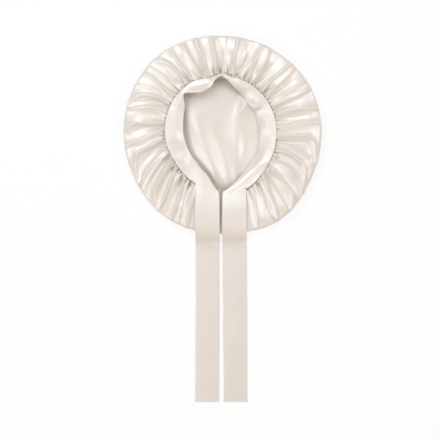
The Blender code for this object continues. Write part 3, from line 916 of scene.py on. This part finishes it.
def band_edges(deg, profiles):
    """The band's outer and inner edges at seam angles: the seam's points, and the free edge through
    BAND's sections. Its ends take their heights from the ties."""
    at = [s.seam for s in BAND]
    inner_deg = through(at, [s.inner for s in BAND], deg)
    inner_radius = RADIUS * through(at, [s.radius for s in BAND], deg)
    outer_xy = polar(deg, RADIUS * round_seam("radius", deg))
    inner_xy = polar(inner_deg, inner_radius)
    outer_z = SEAM_HEIGHT * round_seam("height", deg) + CLEARANCE + STRIP_THICKNESS / 2
    inner_z = BAND_LIFT * through(at, [s.lift for s in BAND], deg)
    near_left = 1 - ease((BAND[-1].seam - deg) / BAND_END)
    near_right = 1 - ease((deg - BAND[0].seam) / BAND_END)
    for side, near in (("tie_left", near_left), ("tie_right", near_right)):
        for xy, z in ((outer_xy, outer_z), (inner_xy, inner_z)):
            at_tie = np.interp(xy[:, 1], *profiles[side]) - STRIP_THICKNESS / 2
            z += (np.maximum(at_tie, z) - z) * near
    outer = np.concatenate([outer_xy, outer_z[:, None]], -1)
    inner = np.concatenate([inner_xy, inner_z[:, None]], -1)
    return outer, inner


def tie_edges(name, head_outer, head_inner, profile):
    """A tie's outer and inner edges from the band's end down to its own end: smooth lines through
    TIE_EDGES, on the height of the frame's solid."""
    down = np.linspace(0, 1, TIE_STATIONS) ** 1.2
    at = [e.down for e in TIE_EDGES[name]]
    edges = []
    for head, column in ((head_outer, "outer"), (head_inner, "inner")):
        y = head[1] + (TIES_END - head[1]) * down
        x = through(at, [getattr(e, column) for e in TIE_EDGES[name]], down)
        x = head[0] + (x - head[0]) * ease(down / 0.05)
        z = np.interp(y, *profile) - STRIP_THICKNESS / 2
        z = head[2] + (z - head[2]) * ease(down / 0.03)
        edges.append(np.stack([x, y, np.maximum(z, STRIP_THICKNESS / 2 + 0.0001)], -1))
    return edges


def level_out(edge):
    """An edge with its height averaged along it by a bell of LEVEL_OVER, so that the band runs on
    into the ties without a step."""
    steps = np.linalg.norm(np.diff(edge, axis=0), axis=-1)
    at = np.concatenate([[0], np.cumsum(steps)])
    weight = np.exp(-(((at[:, None] - at[None, :]) / LEVEL_OVER) ** 2)) * np.gradient(at)[None, :]
    smooth = edge.copy()
    smooth[:, 2] = weight @ edge[:, 2] / weight.sum(axis=1)
    return smooth


def strip_lift(stations, hem):
    """How far the middle of the strip's two layers stands off the plane of its edges, at shares of the
    way across: a bow over its whole width, soft swells, faint pulls from the stitches at its outer
    edge and a sewn line near each tie's end. hem is each station's distance from the nearer end."""
    rng = np.random.default_rng(PULL_SEED)
    at = np.linspace(0, 1, stations)[:, None]
    share = loop_share()[None, :]
    band = ease((hem - hem.max() / 2 - 0.02) / 0.05)[:, None]
    pull = np.zeros((stations, share.shape[1]))
    for place in rng.uniform(0.25, 0.75, PULLS):
        reach = rng.uniform(0.2, 0.9)
        away = (at - place) / rng.uniform(0.0010, 0.0045)
        pull += rng.uniform(-1, 1) * np.exp(-away * away) * (1 - ease(share / reach))
    bell = np.sin(np.pi * share)
    soft = soft_noise(at * 0.6 + 0 * share, share * 0.03 + 0 * at, SWELL_SCALE, SWELL_SEED)
    swell = SWELL_HEIGHT * soft * bell
    bow = bell * (TIE_BOW + BAND_BOW * band) + swell * (0.2 + 0.8 * band)
    sewn = -HEM_DEPTH * np.exp(-(((hem - HEM_AT) / HEM_HALF) ** 2))[:, None] * bell**0.5
    return bow + sewn + band * PULL_HEIGHT * pull * ease(share / 0.03)


def loop_share():
    """The shares across the strip, round its flat loop: out over the upper layer and back under."""
    share = (1 - np.cos(np.linspace(0, np.pi, STRIP_POINTS))) / 2
    return np.concatenate([share, share[-2:0:-1]])


def strip_loops(outer, inner):
    """A flat tube, the two layers of a folded strip: at each station a thin loop with rounded edges
    is carried between the outer and inner edge, along the strip's own normal. One patch is puffed up
    by exp(-d^4), with d the distance from its middle over its size, and most towards one side."""
    across = inner - outer
    width = np.linalg.norm(across, axis=-1, keepdims=True)
    across = across / width
    middle = (outer + inner) / 2
    step = np.linalg.norm(np.gradient(middle, axis=0), axis=-1)
    along = np.gradient(middle, axis=0) / step[:, None]
    normal = np.cross(across, along)
    normal *= np.sign(normal[:, 2:3])
    normal /= np.linalg.norm(normal, axis=-1, keepdims=True)
    share = loop_share()
    side = np.concatenate([np.ones(STRIP_POINTS), -np.ones(STRIP_POINTS - 2)])
    half = STRIP_THICKNESS / 2
    from_edge = np.minimum(share, 1 - share)[None, :] * width
    bulge = half * np.sqrt(1 - (1 - np.clip(from_edge / half, 0, 1)) ** 2)
    travelled = np.cumsum(step)
    hem = np.minimum(travelled, travelled[-1] - travelled)
    lift = strip_lift(len(outer), hem) + side[None, :] * bulge
    points = outer[:, None] + (inner - outer)[:, None] * share[None, :, None]
    points = points + normal[:, None] * lift[..., None]
    from_puff = points[..., :2] - np.array(PUFF_AT)
    away = np.hypot(from_puff[..., 0] / PUFF_LENGTHEN, from_puff[..., 1]) / PUFF_SIZE
    uneven = 1 + PUFF_UNEVEN * soft_noise(points[..., 0], points[..., 1], PUFF_SCALE, PUFF_SEED)
    tilt = (from_puff @ np.array(PUFF_TOWARDS) / PUFF_SIZE).clip(-1, 1)
    points[..., 2] += PUFF_RISE * np.exp(-(away**4)) * uneven * (0.55 + 0.45 * tilt)
    return points


def strip_normals(points):
    """Each point's normal, along the strip and round its loop, the same on both sides of a cut."""
    along = np.gradient(points, axis=0)
    around = np.roll(points, -1, axis=1) - np.roll(points, 1, axis=1)
    normals = np.cross(around, along)
    return normals / np.maximum(np.linalg.norm(normals, axis=-1, keepdims=True), 1e-12)


def tube_faces(stations, loop):
    """Quads of a tube's walls, and a cap of quads and triangles at each end of its flat loop."""
    i, j = np.meshgrid(np.arange(stations - 1), np.arange(loop), indexing="ij")
    nxt = (j + 1) % loop
    walls = np.stack([i * loop + j, i * loop + nxt, (i + 1) * loop + nxt, (i + 1) * loop + j], -1)
    k = np.arange(1, loop // 2 - 1)
    cap = np.stack([k, loop - k, loop - k - 1, k + 1], -1)
    tips = np.array([[0, loop - 1, 1], [loop // 2, loop // 2 - 1, loop // 2 + 1]])
    shift = (stations - 1) * loop
    return [walls.reshape(-1, 4), cap, tips, (cap + shift)[:, ::-1], (tips + shift)[:, ::-1]]


def make_strip(name, points, normals):
    """One cut of the long strip, closed, with the whole strip's normals."""
    piece = make_mesh(name, points, tube_faces(len(points), points.shape[1]))
    piece.data.normals_split_custom_set_from_vertices(normals.reshape(-1, 3).tolist())
    return piece


def satin_material(name):
    """Ivory satin, one of SATINS: a fine twill of threads in the bump, slubs and broad patches that
    shift the colour a little, and a soft gloss. Low in the bag its colour is painted darker and warmer,
    as shade, and its roughness is INSIDE_ROUGHNESS."""
    satin = SATINS[name]
    material = bpy.data.materials.new(name)
    material.use_nodes = True
    tree = material.node_tree
    shader = tree.nodes["Principled BSDF"]
    place = add_node(tree, "ShaderNodeTexCoord", {}, output=3)
    stretched = add_node(tree, "ShaderNodeMapping", {}, place, Scale=(900.0, 60.0, 900.0))
    slub = add_node(tree, "ShaderNodeTexNoise", {}, Vector=stretched, Scale=1.0, Detail=2.0)
    broad = add_node(tree, "ShaderNodeTexNoise", {}, Vector=place, Scale=22.0, Detail=3.0)
    height = add_node(tree, "ShaderNodeSeparateXYZ", {}, place, output=2)
    outside = add_node(
        tree, "ShaderNodeMapRange", {}, height,
        From_Min=INSIDE_BELOW, From_Max=INSIDE_BELOW + INSIDE_BLEND, To_Min=0.0, To_Max=1.0,
    )
    # Slubs and patches move the ramp at random; low in the bag it is moved towards the deep end as
    # painted shade.
    shade = slub * 0.5 + broad * 0.5 + outside * INSIDE_PAINTED_SHADE - INSIDE_PAINTED_SHADE
    light = tuple(c * SATIN_LIGHT for c in satin.colour)
    dark = tuple(c * SATIN_DARK for c in satin.colour)
    # The deep end of the ramp: the colour as painted shade, darker and warmer low in the bag.
    deep = tuple(c * t for c, t in zip(satin.colour, satin.low_tint))
    stops = [(0.0, (*deep, 1)), (0.7, (*light, 1)), (0.3, (*dark, 1))]
    tone = add_node(tree, "ShaderNodeValToRGB", {"stops": stops}, shade)
    threads = add_node(
        tree, "ShaderNodeTexWave", {"bands_direction": "DIAGONAL"}, Vector=place, Scale=700.0,
        Distortion=1.5, Detail=1.0, output=1,
    )
    fine = threads * 0.6 + slub * 0.4
    bump = add_node(tree, "ShaderNodeBump", {}, Strength=0.10, Distance=0.0002, Height=fine)
    tree.links.new(tone.link, shader.inputs["Base Color"])
    tree.links.new(bump.link, shader.inputs["Normal"])
    gloss = outside * (satin.roughness - INSIDE_ROUGHNESS) + INSIDE_ROUGHNESS
    tree.links.new(gloss.link, shader.inputs["Roughness"])
    shader.inputs["Metallic"].default_value = SATIN_METALLIC
    shader.inputs["IOR"].default_value = SATIN_IOR
    shader.inputs["Specular IOR Level"].default_value = 0.60
    shader.inputs["Subsurface Weight"].default_value = 0.03
    shader.inputs["Subsurface Radius"].default_value = (1.0, 0.70, 0.45)
    shader.inputs["Subsurface Scale"].default_value = 0.003
    shader.inputs["Sheen Weight"].default_value = 0.10
    shader.inputs["Sheen Roughness"].default_value = 0.4
    return material


def floor_material():
    """A plain white sweep, bright enough that shadows stay faint."""
    material = bpy.data.materials.new("white_floor")
    material.use_nodes = True
    shader = material.node_tree.nodes["Principled BSDF"]
    shader.inputs["Base Color"].default_value = (FLOOR_GREY, FLOOR_GREY, FLOOR_GREY, 1)
    shader.inputs["Roughness"].default_value = 0.9
    shader.inputs["Emission Color"].default_value = (1, 1, 1, 1)
    shader.inputs["Emission Strength"].default_value = FLOOR_GLOW
    return material


def finish_piece(piece, node, material):
    """A piece takes its material, stands for its node and goes with the body."""
    piece.data.materials.append(material)
    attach(piece, "root")
    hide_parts(node)


def area_light(light):
    """One of LIGHTS, which looks at the crown's middle."""
    data = bpy.data.lights.new(light.name, "AREA")
    data.shape = "SQUARE"
    data.size = light.size
    data.energy = light.power
    data.color = light.colour
    lamp = bpy.data.objects.new(light.name, data)
    up = math.radians(light.elevation)
    xy = CENTRE + polar(light.bearing, light.distance * math.cos(up))
    lamp.location = (*xy, light.distance * math.sin(up))
    lamp.rotation_euler = (math.radians(90 - light.elevation), 0, math.radians(light.bearing + 90))
    bpy.context.scene.collection.objects.link(lamp)


def make_floor():
    """A plain floor under everything."""
    mesh = bpy.data.meshes.new("floor")
    corners = np.array([(-1, -1, 0), (1, -1, 0), (1, 1, 0), (-1, 1, 0)]) * FLOOR_REACH
    mesh.from_pydata(corners.tolist(), [], [(0, 1, 2, 3)])
    mesh.materials.append(floor_material())
    floor = bpy.data.objects.new("floor", mesh)
    bpy.context.scene.collection.objects.link(floor)


def make_camera():
    """A long lens straight above, with the photo's frame."""
    data = bpy.data.cameras.new("camera")
    data.sensor_width = SENSOR
    data.lens = SENSOR * CAMERA_HEIGHT / (PIXEL * PHOTO_SIZE)
    camera = bpy.data.objects.new("camera", data)
    x = CENTRE[0] + (PHOTO_SIZE / 2 - PHOTO_CENTRE[0]) * PIXEL
    y = CENTRE[1] - (PHOTO_SIZE / 2 - PHOTO_CENTRE[1]) * PIXEL
    camera.location = (x, y, CAMERA_HEIGHT)
    bpy.context.scene.collection.objects.link(camera)
    bpy.context.scene.camera = camera


def make_light():
    """The surround, the lights of LIGHTS, and plain colours."""
    world = bpy.data.worlds.new("studio")
    world.use_nodes = True
    tree = world.node_tree
    background = tree.nodes["Background"]
    way = add_node(tree, "ShaderNodeTexCoord", {})
    upwards = add_node(tree, "ShaderNodeSeparateXYZ", {}, way, output=2)
    sky = add_node(tree, "ShaderNodeValToRGB", {"stops": SKY}, upwards)
    tree.links.new(sky.link, background.inputs["Color"])
    background.inputs["Strength"].default_value = SKY_STRENGTH
    bpy.context.scene.world = world
    for light in LIGHTS:
        area_light(light)
    bpy.context.scene.view_settings.view_transform = "Standard"


def main():
    """The camera, the crown, the long strip cut into band and ties, the floor and lights."""
    make_camera()
    profiles = {name: tie_profile(name) for name in TIE_EDGES}
    deg = np.linspace(BAND[0].seam, BAND[-1].seam, BAND_STATIONS)
    outer, inner = band_edges(deg, profiles)
    satins = {name: satin_material(name) for name in SATINS}

    crown = make_crown()
    finish_piece(crown, "crown", satins["crown_satin"])

    left = tie_edges("tie_left", outer[-1], inner[-1], profiles["tie_left"])
    right = tie_edges("tie_right", outer[0], inner[0], profiles["tie_right"])
    long_edges = [
        np.concatenate([start[:0:-1], middle, end[1:]])
        for start, middle, end in zip(right, (outer, inner), left)
    ]
    loops = strip_loops(*(level_out(edge) for edge in long_edges))
    normals = strip_normals(loops)
    first = TIE_STATIONS - 1
    last = first + BAND_STATIONS - 1
    band = make_strip("band_strip", loops[first : last + 1], normals[first : last + 1])
    finish_piece(band, "band", satins["band_satin"])
    ties = [
        make_strip("tie_right_strip", loops[: first + 1], normals[: first + 1]),
        make_strip("tie_left_strip", loops[last:], normals[last:]),
    ]
    for tie, name in zip(ties, ("tie_right", "tie_left")):
        finish_piece(tie, name, satins["tie_satin"])

    make_floor()
    make_light()


main()
